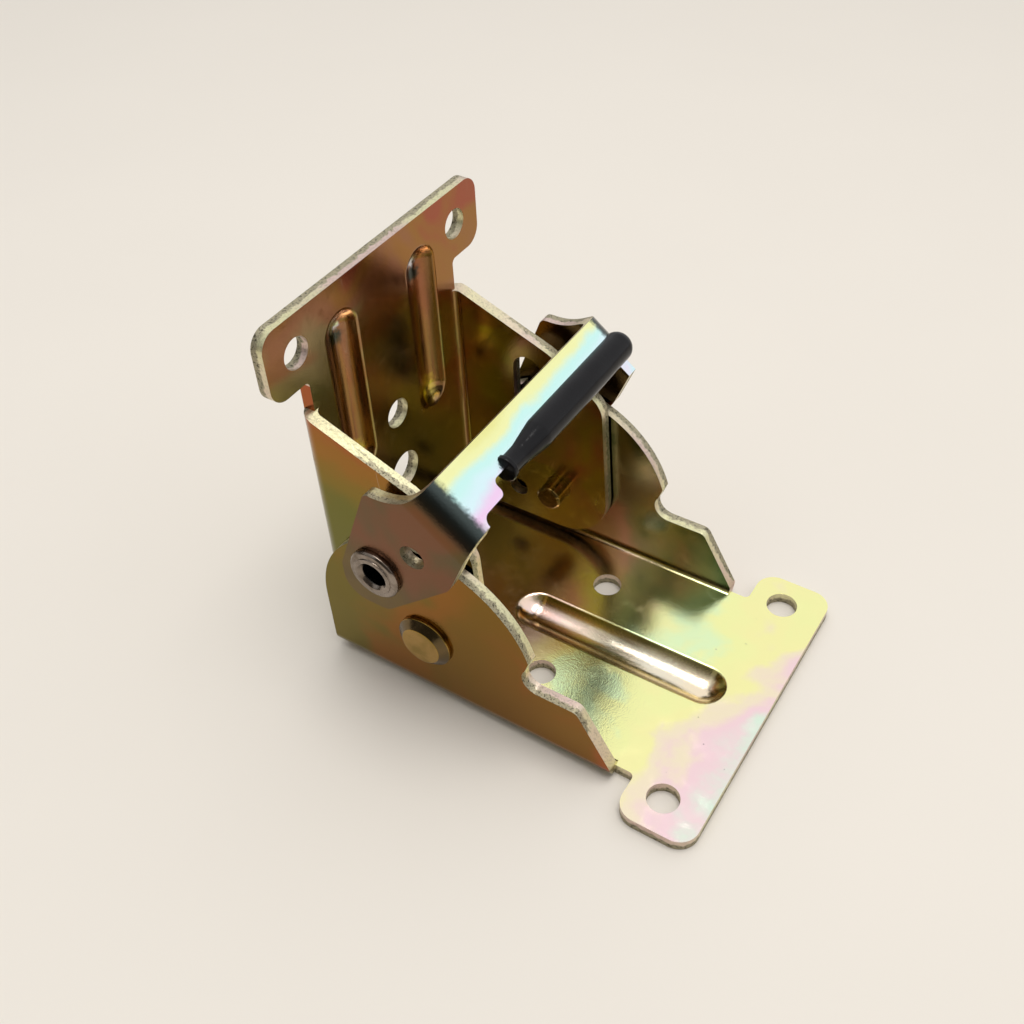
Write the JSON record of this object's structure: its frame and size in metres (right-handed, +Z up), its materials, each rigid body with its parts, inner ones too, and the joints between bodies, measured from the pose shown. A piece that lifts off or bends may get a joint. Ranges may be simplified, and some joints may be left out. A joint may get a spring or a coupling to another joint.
{
  "type": "self-locking folding table hinge",
  "caption": "Folding leg hinge of bent yellow-zinc sheet: a base bracket, a leg bracket that folds flat, and a sliding lever with a black grip that lifts the lock rivets.",
  "frame": {"origin": "on the underside of the base floor, in the middle plane, straight below the main pivot", "axes": "+X along the base towards its screw flange, +Y across the walls away from the camera's side, +Z up along the upright leg bracket"},
  "size_m": [0.0783, 0.0604, 0.0737],
  "materials": {
    "zinc_sheet": "yellow chromate zinc plate with pink and green tints",
    "rivet_steel": "zinc plated steel",
    "black_grip": "glossy soft black plastic"
  },
  "bodies": {
    "base": {"base_bracket": "zinc_sheet", "main_rivet_near": "rivet_steel", "main_rivet_far": "rivet_steel"},
    "leg": {"leg_bracket": "zinc_sheet"},
    "lock_pins": {"lock_rivet_near": "rivet_steel", "lock_rivet_far": "rivet_steel"},
    "lever": {"lock_lever": "zinc_sheet", "lever_grip": "black_grip"}
  },
  "joints": [
    {"name": "leg_fold", "type": "hinge", "parent": "base", "child": "leg", "pos_m": [0, 0, 0.0147], "axis": [0, 1, 0], "range_deg": [0, 90]},
    {"name": "pin_lift", "type": "slide", "parent": "leg", "child": "lock_pins", "axis": [0, 0, 1], "range_m": [0, 0.0093]},
    {"name": "lever_tilt", "type": "hinge", "parent": "lock_pins", "child": "lever", "pos_m": [-0.0062, 0, 0.0308], "axis": [0, 1, 0], "range_deg": [-20, 0]}
  ],
  "couplings": [
    {"joint": "lever_tilt", "follows": "leg_fold", "ratio": -0.22222}
  ]
}
